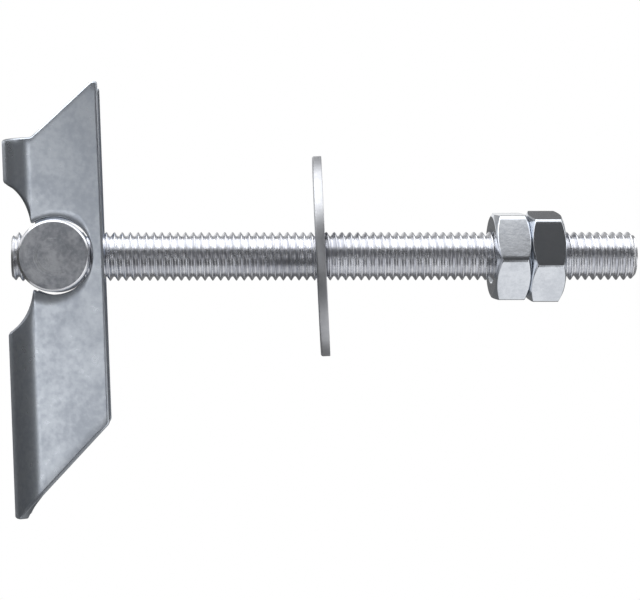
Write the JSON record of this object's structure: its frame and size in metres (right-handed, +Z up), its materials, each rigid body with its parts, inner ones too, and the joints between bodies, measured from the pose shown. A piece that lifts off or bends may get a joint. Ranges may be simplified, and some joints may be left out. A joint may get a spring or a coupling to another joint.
{
  "type": "ceiling anchor",
  "caption": "Gravity toggle ceiling anchor: a folded channel pivots on a barrel nut at the top of a threaded rod with a washer and two hexagon nuts.",
  "frame": {"origin": "On the rod's axis, level with the free edges of the toggle's channel, where the toggle lies on the ceiling board beside the hole.", "axes": "+Z up along the rod, from the nuts to the toggle. Y is the pivot's axis, and -Y is the side the toggle is seen from. +X is along the toggle's short arm and -X along its long arm."},
  "size_m": [0.0685, 0.032, 0.1012],
  "materials": {
    "channel_zinc": "zinc plated sheet steel, satin and slightly mottled",
    "barrel_zinc": "zinc plated turned steel, with faint turning rings on its ends",
    "rod_zinc": "bright zinc plated rolled thread",
    "washer_zinc": "bright zinc plated stamped steel",
    "nut_zinc": "bright zinc plated, semi-gloss flats"
  },
  "bodies": {
    "toggle": {"toggle_bar": "channel_zinc"},
    "barrel": {"pivot_barrel": "barrel_zinc"},
    "rod": {"threaded_rod": "rod_zinc"},
    "washer": {"washer": "washer_zinc"},
    "inner_nut": {"inner_nut": "nut_zinc"},
    "outer_nut": {"outer_nut": "nut_zinc"}
  },
  "joints": [
    {"name": "toggle_tilt", "type": "hinge", "parent": "toggle", "child": "barrel", "pos_m": [0, 0, 0.0077], "axis": [0, 1, 0], "range_deg": [-92.1, 87.9]},
    {"name": "rod_turn", "type": "hinge", "parent": "barrel", "child": "rod", "pos_m": [0, 0, 0.0077], "axis": [0, 0, 1], "continuous": true},
    {"name": "washer_slide", "type": "slide", "parent": "rod", "child": "washer", "axis": [0, 0, -1], "range_m": [0, 0.0259]},
    {"name": "inner_nut_run", "type": "slide", "parent": "rod", "child": "inner_nut", "axis": [0, 0, -1], "range_m": [-0.0258, 0.0056]},
    {"name": "outer_nut_run", "type": "slide", "parent": "inner_nut", "child": "outer_nut", "axis": [0, 0, -1], "range_m": [0, 0.0062]}
  ]
}
